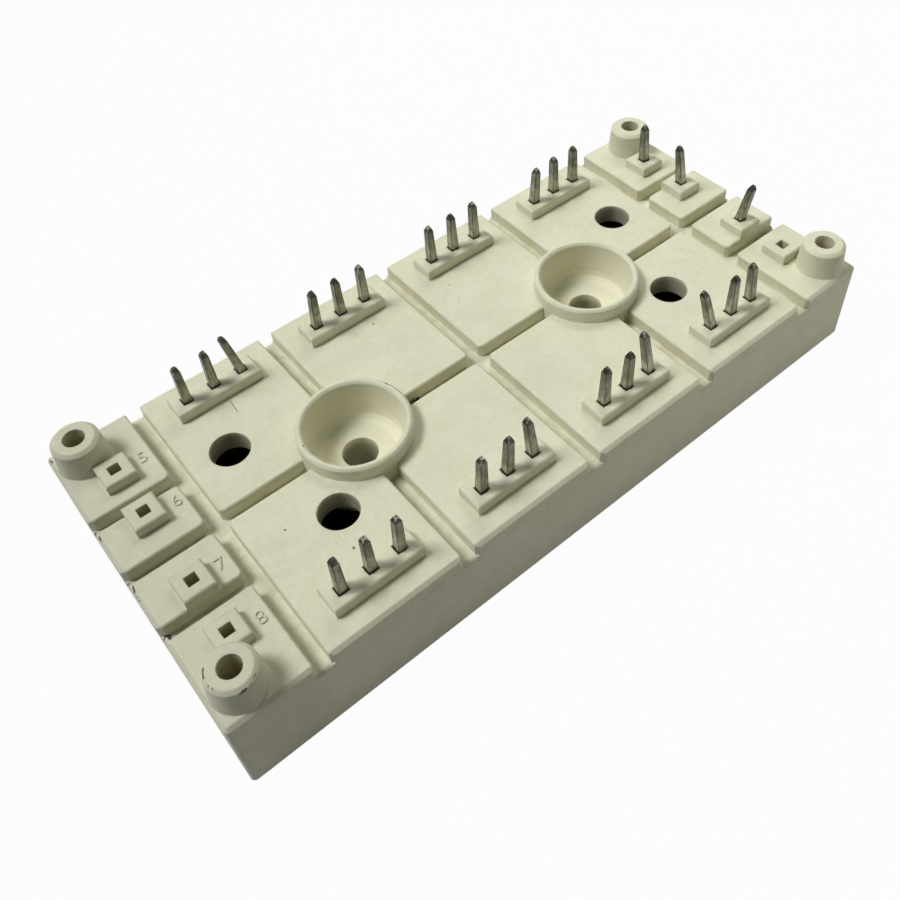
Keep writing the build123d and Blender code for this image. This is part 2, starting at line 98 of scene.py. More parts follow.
class Slot(Enum):
    """The record's material slots."""

    HOUSING = "housing_plastic"
    CERAMIC = "ceramic"
    ADHESIVE = "adhesive"
    GEL = "gel"
    PINS = "tinned_pins"
    RIBBONS = "bond_ribbons"
    CHIPS = "chips"
    COPPER = "copper"

    @classmethod
    def of(cls, name: str) -> "Slot":
        """Finds a node's slot.

        Args:
            name: the node's name.

        Returns:
            The slot that goes with the start of the name; tracks, pads and foil are copper.
        """
        starts = (
            ("housing", cls.HOUSING), ("ceramic_", cls.CERAMIC), ("adhesive_", cls.ADHESIVE),
            ("gel_", cls.GEL), ("pin_", cls.PINS), ("ribbons_", cls.RIBBONS),
            ("diode_", cls.CHIPS), ("switch_", cls.CHIPS),
        )
        return next((slot for start, slot in starts if name.startswith(start)), cls.COPPER)


def deselect_all() -> None:
    """Leaves nothing selected, so that the next operator acts on its own piece only."""
    if bpy.context.object and bpy.context.object.mode != "OBJECT":
        bpy.ops.object.mode_set(mode="OBJECT")
    bpy.ops.object.select_all(action="DESELECT")


@dataclass(frozen=True)
class Noise:
    """A noise: waves in a metre, octaves, strength of the finer octaves, and how far it is bent."""

    waves: float
    detail: float = 3.0
    rough: float = 0.55
    warp: float = 0.0


@dataclass(frozen=True)
class Ramp:
    """A smooth step: the result goes from to_low, at low, to to_high, at high."""

    low: Value
    high: Value
    to_low: float = 0.0
    to_high: float = 1.0


class Graph:
    """A node tree that is being wired, with short ways to add and join its nodes."""

    def __init__(self, tree: bpy.types.NodeTree) -> None:
        """Starts on an emptied tree.

        Args:
            tree: the tree of a material, a world or a group.
        """
        self.tree = tree
        tree.nodes.clear()

    def add(self, kind: str, **settings: object) -> Node:
        """Adds a node.

        Args:
            kind: the node's type name.
            settings: the node's own properties, such as operation.

        Returns:
            The new node.
        """
        node = self.tree.nodes.new(kind)
        for name, value in settings.items():
            setattr(node, name, value)
        return node

    def wire(self, source: Socket, target: Socket) -> None:
        """Joins an output to an input."""
        self.tree.links.new(source, target)

    def feed(self, target: Socket, value: Value) -> None:
        """Joins an output to an input, or writes a plain value on it.

        Args:
            target: the input socket.
            value: an output socket, a number, or a colour or vector as a tuple.
        """
        if isinstance(value, Socket):
            self.wire(value, target)
        elif isinstance(value, tuple) and target.type == "RGBA":
            target.default_value = (*value, 1.0)
        else:
            target.default_value = value

    def math(self, operation: str, first: Value, second: Value = 0.0,
             clamp: bool = False) -> Socket:
        """Adds a Math node.

        Args:
            operation: such as ADD or MULTIPLY.
            first: a socket or a number.
            second: a socket or a number.
            clamp: whether the result is kept from 0 to 1.

        Returns:
            The result's socket.
        """
        node = self.add("ShaderNodeMath", operation=operation, use_clamp=clamp)
        self.feed(node.inputs[0], first)
        self.feed(node.inputs[1], second)
        return node.outputs[0]

    def weigh(self, first: Socket, share: float, second: Socket) -> Socket:
        """Adds two values, the first by its share and the second by what is left of 1."""
        return self.math("ADD", self.math("MULTIPLY", first, share),
                         self.math("MULTIPLY", second, 1.0 - share))

    def vector(self, operation: str, first: Value, second: Value = ORIGIN) -> Node:
        """Adds a Vector Math node and feeds its first two inputs."""
        node = self.add("ShaderNodeVectorMath", operation=operation)
        self.feed(node.inputs[0], first)
        self.feed(node.inputs[1], second)
        return node

    def scaled(self, vector: Socket, factor: Socket) -> Socket:
        """Gives a vector times a number."""
        node = self.vector("SCALE", vector)
        self.wire(factor, node.inputs["Scale"])
        return node.outputs[0]

    def away(self, place: Value, start: Value) -> Socket:
        """Gives the vector that leads from a start to a place."""
        return self.vector("SUBTRACT", place, start).outputs[0]

    def dot(self, first: Value, second: Value) -> Socket:
        """Gives the dot product of two vectors."""
        return self.vector("DOT_PRODUCT", first, second).outputs["Value"]

    def length(self, vector: Value) -> Socket:
        """Gives a vector's length."""
        return self.vector("LENGTH", vector).outputs["Value"]

    def mix(self, factor: Value, first: Value, second: Value) -> Socket:
        """Mixes two colours.

        Args:
            factor: a socket or a number from 0 to 1.
            first: the colour at 0.
            second: the colour at 1.

        Returns:
            The mixed colour's socket.
        """
        node = self.add("ShaderNodeMix", data_type="RGBA")
        self.feed(node.inputs[MIX_FACTOR], factor)
        self.feed(node.inputs[MIX_FIRST], first)
        self.feed(node.inputs[MIX_SECOND], second)
        return node.outputs[MIX_RESULT]

    def tint(self, base: Value, colour: Colour, mask: Socket, amount: Value) -> Socket:
        """Covers a colour with another one where a mask is, up to an amount."""
        return self.mix(self.math("MULTIPLY", mask, amount), base, colour)

    def ramp(self, value: Socket, ramp: Ramp) -> Socket:
        """Spreads a range of values smoothly over another.

        Args:
            value: the socket to spread.
            ramp: the two ranges.

        Returns:
            The result's socket.
        """
        node = self.add("ShaderNodeMapRange", interpolation_type="SMOOTHSTEP")
        numbers = (value, ramp.low, ramp.high, ramp.to_low, ramp.to_high)
        for target, number in zip(node.inputs, numbers):
            self.feed(target, number)
        return node.outputs[0]

    def noise(self, place: Socket, noise: Noise) -> Socket:
        """Adds a noise.

        Args:
            place: the socket of the coordinates.
            noise: its values.

        Returns:
            The socket of the noise's value, around NOISE_MIDDLE.
        """
        node = self.add("ShaderNodeTexNoise")
        self.feed(node.inputs["Vector"], place)
        node.inputs["Scale"].default_value = noise.waves
        node.inputs["Detail"].default_value = noise.detail
        node.inputs["Roughness"].default_value = noise.rough
        node.inputs["Distortion"].default_value = noise.warp
        return node.outputs["Fac"]

    def place(self) -> Socket:
        """Gives the piece's own coordinates, in metres."""
        return self.add("ShaderNodeTexCoord").outputs["Object"]

    def axis(self, place: Value, letter: str) -> Socket:
        """Gives the X, Y or Z of a place."""
        node = self.add("ShaderNodeSeparateXYZ")
        self.feed(node.inputs[0], place)
        return node.outputs[letter]

    def bump(self, height: Socket, strength: float, distance: float,
             normal: Socket | None = None) -> Socket:
        """Adds a Bump node.

        Args:
            height: the socket of the height.
            strength: from 0 to 1.
            distance: height of a full step, in metres.
            normal: the normal to start from.

        Returns:
            The socket of the normal.
        """
        node = self.add("ShaderNodeBump")
        node.inputs["Strength"].default_value = strength
        node.inputs["Distance"].default_value = distance
        self.feed(node.inputs["Height"], height)
        if normal:
            self.wire(normal, node.inputs["Normal"])
        return node.outputs[0]


@dataclass
class Effects:
    """Shader groups that several finishes share, each built when it is first asked for."""

    fine: Noise = Noise(4200, 2.0, 0.6)
    coarse: Noise = Noise(1300, warp=0.3)
    cloud: Noise = Noise(260, rough=0.5, warp=0.6)
    grain_share: float = 0.55
    patches: Noise = Noise(420, 4.0, 0.6, 0.8)
    patchy: Ramp = Ramp(0.42, 0.7)
    scar_rim: Ramp = Ramp(1.15, 0.75)
    edge_bend: Ramp = Ramp(0.995, 0.85)
    edge_samples: int = 6

    def _start(self, name: str, inputs: dict[str, float | Place],
               outputs: dict[str, str]) -> tuple[Graph, Node, Node]:
        """Starts a group with its sockets.

        Args:
            name: the group's name.
            inputs: socket name to its starting number or vector.
            outputs: socket name to its type.

        Returns:
            The graph, its input node and its output node.
        """
        tree = bpy.data.node_groups.new(name, "ShaderNodeTree")
        for label, value in inputs.items():
            kind = NUMBER if isinstance(value, float) else VECTOR
            socket = tree.interface.new_socket(label, in_out="INPUT", socket_type=kind)
            socket.default_value = value
        for label, kind in outputs.items():
            tree.interface.new_socket(label, in_out="OUTPUT", socket_type=kind)
        graph = Graph(tree)
        return graph, graph.add("NodeGroupInput"), graph.add("NodeGroupOutput")

    @cached_property
    def grain(self) -> bpy.types.NodeTree:
        """Fine spark-eroded grain of a moulding tool: a Mottle and a Height, both around 0.5."""
        graph, inside, outside = self._start(
            "grain", {"Place": ORIGIN, "Fineness": 1.0}, {"Mottle": NUMBER, "Height": NUMBER})
        place = graph.scaled(inside.outputs["Place"], inside.outputs["Fineness"])
        noises = (self.fine, self.coarse, self.cloud)
        fine, coarse, cloud = (graph.noise(place, noise) for noise in noises)
        graph.wire(graph.weigh(fine, self.grain_share, coarse), outside.inputs["Height"])
        graph.wire(graph.weigh(cloud, self.grain_share, coarse), outside.inputs["Mottle"])
        return graph.tree

    @cached_property
    def scar(self) -> bpy.types.NodeTree:
        """One small ragged mark, round or drawn out between two places: a Mask, 1 inside it."""
        graph, inside, outside = self._start(
            "scar", {"Place": ORIGIN, "Start": ORIGIN, "End": ORIGIN, "Radius": 0.3 * MM,
                     "Rough": 0.0, "Ragged": 0.5}, {"Mask": NUMBER})
        away = graph.away(inside.outputs["Place"], inside.outputs["Start"])
        run = graph.away(inside.outputs["End"], inside.outputs["Start"])
        share = graph.math("DIVIDE", graph.dot(away, run), graph.dot(run, run), clamp=True)
        far = graph.length(graph.away(away, graph.scaled(run, share)))
        torn = graph.math("MULTIPLY", inside.outputs["Rough"], inside.outputs["Ragged"])
        edge = graph.math("ADD", graph.math("DIVIDE", far, inside.outputs["Radius"]), torn)
        graph.wire(graph.ramp(edge, self.scar_rim), outside.inputs["Mask"])
        return graph.tree

    @cached_property
    def dust_and_shade(self) -> bpy.types.NodeTree:
        """Dirt and painted shade that lie low and thin out upward, in patches: a Mask, 1 where they
        are thick.
        """
        graph, inside, outside = self._start(
            "dust_and_shade", {"Place": ORIGIN, "Low": 0.0, "High": 10 * MM, "Amount": 0.5}, {"Mask": NUMBER})
        place = inside.outputs["Place"]
        height = graph.axis(place, "Z")
        low = graph.ramp(height, Ramp(inside.outputs["High"], inside.outputs["Low"]))
        patches = graph.ramp(graph.noise(place, self.patches), self.patchy)
        mask = graph.math("MULTIPLY", low, patches)
        graph.wire(graph.math("MULTIPLY", mask, inside.outputs["Amount"], clamp=True),
                   outside.inputs["Mask"])
        return graph.tree

    @cached_property
    def well(self) -> bpy.types.NodeTree:
        """Where painted shade and painted bounce light go down the wall of an upright round opening:
        a Mask, 1 low down and 0 at its lip.
        """
        graph, inside, outside = self._start(
            "well", {"Place": ORIGIN, "Middle": ORIGIN, "Radius": 2.5 * MM, "Top": 12 * MM,
                     "Bottom": 10 * MM}, {"Mask": NUMBER})
        place = inside.outputs["Place"]
        away = graph.away(place, inside.outputs["Middle"])
        flat = graph.vector("MULTIPLY", away, (1.0, 1.0, 0.0)).outputs[0]
        within = graph.math("LESS_THAN", graph.length(flat), inside.outputs["Radius"])
        height = graph.axis(place, "Z")
        down = graph.ramp(height, Ramp(inside.outputs["Top"], inside.outputs["Bottom"]))
        graph.wire(graph.math("MULTIPLY", within, down), outside.inputs["Mask"])
        return graph.tree

    @cached_property
    def edges(self) -> bpy.types.NodeTree:
        """Rounds the look of edges: the rounded Normal, and a Mask that is 1 along edges."""
        graph, inside, outside = self._start(
            "edges", {"Radius": 0.1 * MM}, {"Normal": VECTOR, "Mask": NUMBER})
        bevel = graph.add("ShaderNodeBevel", samples=self.edge_samples)
        graph.wire(inside.outputs["Radius"], bevel.inputs["Radius"])
        straight = graph.add("ShaderNodeNewGeometry").outputs["True Normal"]
        same = graph.dot(bevel.outputs[0], straight)
        graph.wire(graph.ramp(same, self.edge_bend), outside.inputs["Mask"])
        graph.wire(bevel.outputs[0], outside.inputs["Normal"])
        return graph.tree

    def use(self, graph: Graph, tree: bpy.types.NodeTree, **inputs: Value) -> Node:
        """Puts a group into a material.

        Args:
            graph: the material's graph.
            tree: the group.
            inputs: socket name to a socket or value.

        Returns:
            The group's node.
        """
        node = graph.add("ShaderNodeGroup", node_tree=tree)
        for name, value in inputs.items():
            graph.feed(node.inputs[name], value)
        return node


EFFECTS = Effects()


@dataclass(frozen=True)
class Mark:
    """A chip, a speck or a crumb on the moulding, round or drawn out from its start to its end.

    The radius is in millimetres, and the dent is a share of the grain's relief.
    """

    start: Place
    radius: float
    colour: Colour
    end: Place | None = None
    ragged: float = 1.0
    dent: float = 0.0


@dataclass(frozen=True)
class Well:
    """An upright opening whose wall gets painted shade (the bowl gets painted bounce light), and its
    twin at the other end.

    The radius is in millimetres, the middle, the top and the bottom are in metres.
    """

    middle: Place
    radius: float
    top: float
    bottom: float
    colour: Colour
    amount: float


@dataclass(frozen=True)
class Finish:
    """What every finish has: a name and a way to wire a Principled shader."""

    name: str = "finish"

    def wire(self, graph: Graph, shader: Node) -> None:
        """Wires the shader's inputs; each finish has its own way."""
        raise NotImplementedError

    def material(self) -> bpy.types.Material:
        """Builds the material.

        Returns:
            The material, built once for each name.
        """
        made = bpy.data.materials.get(self.name)
        if made:
            return made
        made = bpy.data.materials.new(self.name)
        made.use_nodes = True
        graph = Graph(made.node_tree)
        output = graph.add("ShaderNodeOutputMaterial")
        shader = graph.add("ShaderNodeBsdfPrincipled")
        graph.wire(shader.outputs[0], output.inputs[0])
        self.wire(graph, shader)
        return made

    def dress(self, piece: bpy.types.Object) -> None:
        """Puts the material on a piece in place of what it has."""
        piece.data.materials.clear()
        piece.data.materials.append(self.material())
        for polygon in piece.data.polygons:
            polygon.material_index = 0


@dataclass(frozen=True)
class IvoryPlastic(Finish):
    """Filled polyester moulding compound, ivory, with handling dirt and small damage, painted shade
    in its grooves, openings and left end, and painted bounce light in its bowl.
    """

    name: str = "ivory_plastic"
    light: Colour = srgb(222, 221, 198)
    deep: Colour = srgb(213, 212, 187)
    mottle: Ramp = Ramp(0.34, 0.66)
    # Colour for the stains, and for the dirt and painted shade low in the grooves.
    dirt_and_shade: Colour = srgb(164, 156, 120)
    dirt_and_shade_low: float = Level.GROOVE.over(-0.1)
    dirt_and_shade_high: float = Level.PANEL.over(-0.6)
    dirt_and_shade_amount: float = 0.32
    walls: Ramp = Ramp(Level.GROOVE.over(-0.5), Level.GROOVE.over(-0.2), 0.18, 1.0)
    stains: Noise = Noise(70, warp=0.8)
    stained: Ramp = Ramp(0.6, 0.8, 0.0, 0.10)
    # Grey grime and painted shade that darken the left end.
    grime_and_shade: Colour = srgb(142, 143, 126)
    grime_and_shade_uneven: float = 2 * MM
    grimy_shaded_end: Ramp = Ramp(-33.5 * MM, -38.5 * MM, 0.0, 0.24)
    rubbed: Colour = srgb(236, 234, 216)
    wear: Noise = Noise(700)
    worn: Ramp = Ramp(0.42, 0.6)
    worn_amount: float = 0.35
    edge: float = 0.25 * MM
    tear: Noise = Noise(2600, 2.0)
    tear_reach: float = 2.6
    roughness: float = 0.55
    roughness_spread: float = 0.12
    relief_strength: float = 0.35
    relief: float = 0.03 * MM
    refraction: float = 1.5
    marks: tuple[Mark, ...] = ()
    wells: tuple[Well, ...] = ()

    def soil_and_shade(self, graph: Graph, place: Socket, mottle: Socket, base: Socket) -> Socket:
        """Adds dirt and painted shade low in the grooves, faint stains everywhere, and grey grime
        with painted shade on the left end.

        Args:
            graph: the material's graph.
            place: the coordinates.
            mottle: the grain's mottle, which makes the border of the grime and painted shade uneven.
            base: the colour so far.

        Returns:
            The colour with the dirt, stains, grime and painted shade.
        """
        # Dirt and painted shade low in the grooves, in patches.
        low = EFFECTS.use(graph, EFFECTS.dust_and_shade, Place=place, Low=self.dirt_and_shade_low, High=self.dirt_and_shade_high,
                          Amount=self.dirt_and_shade_amount)
        above = graph.ramp(graph.axis(place, "Z"), self.walls)
        base = graph.tint(base, self.dirt_and_shade, low.outputs["Mask"], above)
        base = graph.mix(graph.ramp(graph.noise(place, self.stains), self.stained), base, self.dirt_and_shade)
        # Grey grime and painted shade over the left end, with an uneven border.
        uneven = graph.math("MULTIPLY", mottle, self.grime_and_shade_uneven)
        along = graph.math("ADD", graph.axis(place, "X"), uneven)
        return graph.mix(graph.ramp(along, self.grimy_shaded_end), base, self.grime_and_shade)

    def shade(self, graph: Graph, place: Socket, base: Socket) -> Socket:
        """Paints shade down the openings' walls, and bounce light into the bowl, the same at both
        ends.

        Args:
            graph: the material's graph.
            place: the coordinates.
            base: the colour so far.

        Returns:
            The shaded colour.
        """
        folded = graph.add("ShaderNodeCombineXYZ")
        graph.wire(graph.math("ABSOLUTE", graph.axis(place, "X")), folded.inputs["X"])
        graph.wire(graph.axis(place, "Y"), folded.inputs["Y"])
        graph.wire(graph.axis(place, "Z"), folded.inputs["Z"])
        # Painted shade down the openings' walls; the bowl gets painted bounce light.
        for well in self.wells:
            shade = EFFECTS.use(graph, EFFECTS.well, Place=folded.outputs[0], Middle=well.middle,
                                Radius=well.radius * MM, Top=well.top, Bottom=well.bottom)
            base = graph.tint(base, well.colour, shade.outputs["Mask"], well.amount)
        return base

    def scar(self, graph: Graph, place: Socket, base: Socket,
             height: Socket) -> tuple[Socket, Socket]:
        """Adds the marks to the colour, and their dents to the height.

        Args:
            graph: the material's graph.
            place: the coordinates.
            base: the colour so far.
            height: the height so far.

        Returns:
            The colour and the height with the marks.
        """
        rough = graph.math("SUBTRACT", graph.noise(place, self.tear), NOISE_MIDDLE)
        rough = graph.math("MULTIPLY", rough, self.tear_reach)
        for mark in self.marks:
            mask = EFFECTS.use(
                graph, EFFECTS.scar, Place=place, Start=mark.start, End=mark.end or mark.start,
                Radius=mark.radius * MM, Rough=rough, Ragged=mark.ragged).outputs["Mask"]
            base = graph.mix(mask, base, mark.colour)
            if mark.dent:
                height = graph.math("SUBTRACT", height, graph.math("MULTIPLY", mask, mark.dent))
        return base, height

    def wire(self, graph: Graph, shader: Node) -> None:
        """Wires the mottled colour, the dirt, the painted shade and bounce light, the rubbed edges,
        the marks and the grain.

        Args:
            graph: the material's graph.
            shader: its Principled shader.
        """
        place = graph.place()
        grain = EFFECTS.use(graph, EFFECTS.grain, Place=place, Fineness=1.0)
        mottle = grain.outputs["Mottle"]
        edges = EFFECTS.use(graph, EFFECTS.edges, Radius=self.edge)
        base = graph.mix(graph.ramp(mottle, self.mottle), self.deep, self.light)
        base = self.soil_and_shade(graph, place, mottle, base)
        base = self.shade(graph, place, base)
        worn = graph.math("MULTIPLY", edges.outputs["Mask"],
                          graph.ramp(graph.noise(place, self.wear), self.worn))
        base = graph.tint(base, self.rubbed, worn, self.worn_amount)
        base, height = self.scar(graph, place, base, grain.outputs["Height"])
        graph.wire(base, shader.inputs["Base Color"])
        gloss = graph.math("ADD", self.roughness - self.roughness_spread / 2,
                           graph.math("MULTIPLY", mottle, self.roughness_spread))
        graph.wire(gloss, shader.inputs["Roughness"])
        normal = graph.bump(height, self.relief_strength, self.relief, edges.outputs["Normal"])
        graph.wire(normal, shader.inputs["Normal"])
        shader.inputs["IOR"].default_value = self.refraction


@dataclass(frozen=True)
class DullTin(Finish):
    """Electroplated tin gone dull: streaks along the pin, dark corners, a dark foot with painted
    shade, and a cut tip with painted glints.
    """

    name: str = "dull_tin"
    light: Colour = srgb(178, 180, 160)
    deep: Colour = srgb(122, 124, 106)
    dark: Colour = srgb(14, 14, 11)
    # Painted glint on the edges of the cut tip.
    painted_glint: Colour = srgb(222, 220, 208)
    drawn: Place = (1.0, 1.0, 0.14)
    streaks: Noise = Noise(2400, 4.0, 0.65, 0.4)
    patches: Noise = Noise(620, 4.0, 0.6, 0.8)
    streak_share: float = 0.55
    tone: Ramp = Ramp(0.38, 0.62)
    upper: Ramp = Ramp(Level.RAIL.over(0.8), Level.RAIL.over(4.4), 0.0, 0.48)
    corner: float = 0.26 * MM
    corner_amount: float = 0.95
    # Dark foot at the rail: residue, and painted shade of the gap around the pin.
    foot: Ramp = Ramp(Level.RAIL.over(0.35), Level.RAIL.over(-0.05), 0.0, 0.85)
    foot_uneven: float = 0.5 * MM
    cut: Ramp = Ramp(Level.PIN_TIP.over(-0.74), Level.PIN_TIP.over(-0.54))
    cut_amount: float = 0.75
    glint: Ramp = Ramp(0.48, 0.62, 0.0, 0.7)
    gloss: Ramp = Ramp(0.3, 0.7, 0.55, 0.36)
    metallic: float = 0.8
    fineness: float = 1.6
    relief_share: float = 0.7
    relief_strength: float = 0.35
    relief: float = 0.04 * MM

    def wire(self, graph: Graph, shader: Node) -> None:
        """Wires the streaks, the dark corners, the dark foot with its residue and painted shade, and
        the cut tip with its painted glints.

        Args:
            graph: the material's graph.
            shader: its Principled shader.
        """
        place = graph.place()
        height = graph.axis(place, "Z")
        streaks = graph.noise(graph.vector("MULTIPLY", place, self.drawn).outputs[0], self.streaks)
        patches = graph.noise(place, self.patches)
        corner = EFFECTS.use(graph, EFFECTS.edges, Radius=self.corner).outputs["Mask"]
        grain = EFFECTS.use(graph, EFFECTS.grain, Place=place, Fineness=self.fineness)
        tone = graph.weigh(streaks, self.streak_share, patches)
        base = graph.mix(graph.ramp(tone, self.tone), self.deep, self.light)
        base = graph.mix(graph.ramp(height, self.upper), base, self.dark)
        base = graph.tint(base, self.dark, corner, self.corner_amount)
        # Dark foot: residue, and painted shade of the gap around the pin, with a ragged top.
        patchy = graph.math("SUBTRACT", patches, NOISE_MIDDLE)
        uneven = graph.math("MULTIPLY", patchy, self.foot_uneven)
        foot = graph.ramp(graph.math("ADD", height, uneven), self.foot)
        base = graph.mix(foot, base, self.dark)
        cut = graph.ramp(height, self.cut)
        base = graph.tint(base, self.dark, cut, self.cut_amount)
        # Painted glints along the edges of the cut tip.
        glint = graph.math("MULTIPLY", graph.math("MULTIPLY", cut, corner),
                           graph.ramp(patches, self.glint))
        base = graph.mix(glint, base, self.painted_glint)
        graph.wire(base, shader.inputs["Base Color"])
        shader.inputs["Metallic"].default_value = self.metallic
        graph.wire(graph.ramp(tone, self.gloss), shader.inputs["Roughness"])
        bumps = graph.weigh(streaks, self.relief_share, grain.outputs["Height"])
        graph.wire(graph.bump(bumps, self.relief_strength, self.relief), shader.inputs["Normal"])


@dataclass(frozen=True)
class Copper(Finish):
    """Etched copper, lightly oxidised, with brown bloom and fine rolling lines along x."""

    name: str = "copper_foil"
    bright: Colour = srgb(214, 140, 104)
    bloom: Colour = srgb(132, 78, 56)
    rolled: Place = (0.06, 1.0, 1.0)
    lines: Noise = Noise(3200, 4.0, 0.6)
    cloud: Noise = Noise(90, 6.0, 0.62, 0.25)
    cloudy: Ramp = Ramp(0.4, 0.75, 0.05, 0.6)
    lined: Ramp = Ramp(0.45, 0.75, 0.0, 0.3)
    gloss: Ramp = Ramp(0.35, 0.7, 0.3, 0.55)
    relief_strength: float = 0.3
    relief: float = 0.03 * MM

    def wire(self, graph: Graph, shader: Node) -> None:
        """Wires the bloom and the rolling lines.

        Args:
            graph: the material's graph.
            shader: its Principled shader.
        """
        place = graph.place()
        lines = graph.noise(graph.vector("MULTIPLY", place, self.rolled).outputs[0], self.lines)
        cloud = graph.noise(place, self.cloud)
        base = graph.mix(graph.ramp(cloud, self.cloudy), self.bright, self.bloom)
        base = graph.mix(graph.ramp(lines, self.lined), base, self.bloom)
        graph.wire(base, shader.inputs["Base Color"])
        shader.inputs["Metallic"].default_value = 1.0
        graph.wire(graph.ramp(cloud, self.gloss), shader.inputs["Roughness"])
        graph.wire(graph.bump(lines, self.relief_strength, self.relief), shader.inputs["Normal"])


@dataclass(frozen=True)
class Speckled(Finish):
    """A finish of two tones in fine speckle, for ceramic, silicone, gel, chips and ribbons."""

    name: str = "speckled"
    first: Colour = (0.8, 0.8, 0.8)
    second: Colour = (0.7, 0.7, 0.7)
    waves: float = 900.0
    smooth: float = 0.4
    rough: float = 0.6
    metallic: float = 0.0
    coat: float = 0.0
    alpha: float = 1.0
    relief: float = 0.03 * MM
    relief_strength: float = 0.35
    stretch: Place = (1.0, 1.0, 1.0)
    cloud_size: float = 9.0
    speckle_share: float = 0.5
    tone: Ramp = Ramp(0.38, 0.62)

    def wire(self, graph: Graph, shader: Node) -> None:
        """Wires the speckle into colour, roughness and bump.

        Args:
            graph: the material's graph.
            shader: its Principled shader.
        """
        place = graph.vector("MULTIPLY", graph.place(), self.stretch).outputs[0]
        speckle = graph.noise(place, Noise(self.waves, 4.0, 0.62, 0.3))
        cloud = graph.noise(place, Noise(self.waves / self.cloud_size, rough=0.5, warp=0.8))
        tone = graph.weigh(speckle, self.speckle_share, cloud)
        base = graph.mix(graph.ramp(tone, self.tone), self.second, self.first)
        graph.wire(base, shader.inputs["Base Color"])
        gloss = graph.ramp(tone, Ramp(0.35, 0.65, self.rough, self.smooth))
        graph.wire(gloss, shader.inputs["Roughness"])
        graph.wire(graph.bump(speckle, self.relief_strength, self.relief), shader.inputs["Normal"])
        shader.inputs["Metallic"].default_value = self.metallic
        shader.inputs["Coat Weight"].default_value = self.coat
        shader.inputs["Alpha"].default_value = self.alpha


CREAM_CHIP = srgb(238, 234, 214)
BLACK_SCUFF = srgb(46, 42, 36)
BROWN_CRUMB = srgb(112, 94, 66)
GREY_SPECK = srgb(118, 112, 92)


def photograph_marks() -> tuple[Mark, ...]:
    """Lists the small damage of the moulding, each mark at its place.

    Returns:
        The marks, in the order in which they cover each other.
    """
    groove, panel, rim, boss = Level.GROOVE, Level.PANEL, Level.RIM, Level.BOSS
    end_edge = (
        Mark(panel.at(-46.45, 19.65), 0.30, BLACK_SCUFF, panel.at(-46.5, 19.5), dent=1.2),
        Mark(panel.at(-46.52, 18.66), 0.22, BLACK_SCUFF, dent=1.0),
        Mark(panel.at(-46.5, 6.7, -0.15), 0.17, BLACK_SCUFF, panel.at(-46.5, 6.35, -0.2),
             ragged=0.8, dent=1.0),
        Mark(panel.at(-46.3, -1.0, -0.05), 0.16, BLACK_SCUFF, panel.at(-46.5, -2.1, -0.2),
             ragged=1.2, dent=1.0),
        Mark(panel.at(-46.52, -2.2, -0.2), 0.15, BLACK_SCUFF, panel.at(-46.5, -3.0, -0.15),
             ragged=1.1, dent=1.0),
        Mark(groove.at(-46.05, -7.15), 0.24, BLACK_SCUFF, groove.at(-45.9, -7.5), ragged=0.9),
    )
    front_boss = (
        Mark(boss.at(-45.11, -15.87, -0.2), 0.14, BLACK_SCUFF, boss.at(-45.51, -16.67, -0.2),
             ragged=0.5, dent=1.0),
        Mark(boss.at(-45.55, -17.68, -0.12), 0.13, BROWN_CRUMB, dent=0.6),
        Mark(boss.at(-45.37, -18.19, -0.12), 0.11, GREY_SPECK, dent=0.6),
        Mark(boss.at(-43.75, -20.06, -0.5), 0.15, BLACK_SCUFF, boss.at(-43.15, -20.08, -0.35),
             ragged=0.9, dent=1.2),
        Mark(boss.at(-42.6, -19.95, -0.3), 0.06, GREY_SPECK, boss.at(-41.6, -19.4, -0.25),
             ragged=1.2),
    )
    bowl = (
        Mark(rim.at(-12.55, 3.9), 0.08, GREY_SPECK, rim.at(-12.03, 2.66, -0.05), ragged=0.8),
        Mark(rim.at(-12.03, 2.66, -0.05), 0.12, BLACK_SCUFF, rim.at(-11.6, 1.5, -0.1), ragged=0.9),
        Mark(rim.at(-11.6, 1.5, -0.1), 0.08, BLACK_SCUFF, rim.at(-11.31, -0.31, -0.1), ragged=0.7),
        Mark(rim.at(-24.2, 0.8), 0.20, CREAM_CHIP, dent=0.8),
        Mark(rim.at(-24.1, 1.05), 0.09, BROWN_CRUMB, rim.at(-24.15, 0.7), dent=0.6),
    )
    crumbs = (
        Mark(groove.at(-9.55, 0.45), 0.55, BROWN_CRUMB, ragged=0.7),
        Mark(groove.at(-9.0, 0.62, 0.1), 0.30, BLACK_SCUFF, ragged=0.9),
        Mark(groove.at(-9.75, -0.2), 0.26, BLACK_SCUFF),
    )
    mould_line = (
        Mark(panel.at(-26.53, 13.85), 0.05, GREY_SPECK, panel.at(-26.66, 11.9),
             ragged=0.5, dent=0.6),
    )
    specks = tuple(
        Mark(panel.at(x, y), radius, GREY_SPECK, ragged=1.2)
        for x, y, radius in (
            (-6.54, 12.89, 0.12), (5.02, 11.98, 0.10), (4.33, 9.22, 0.10), (-17.14, -10.67, 0.12),
            (-12.24, -13.78, 0.12), (-27.85, -10.72, 0.10), (-26.7, -12.37, 0.14),
            (34.92, -1.39, 0.12), (-30.98, -5.73, 0.12),
        )
    )
    return end_edge + front_boss + bowl + crumbs + mould_line + specks


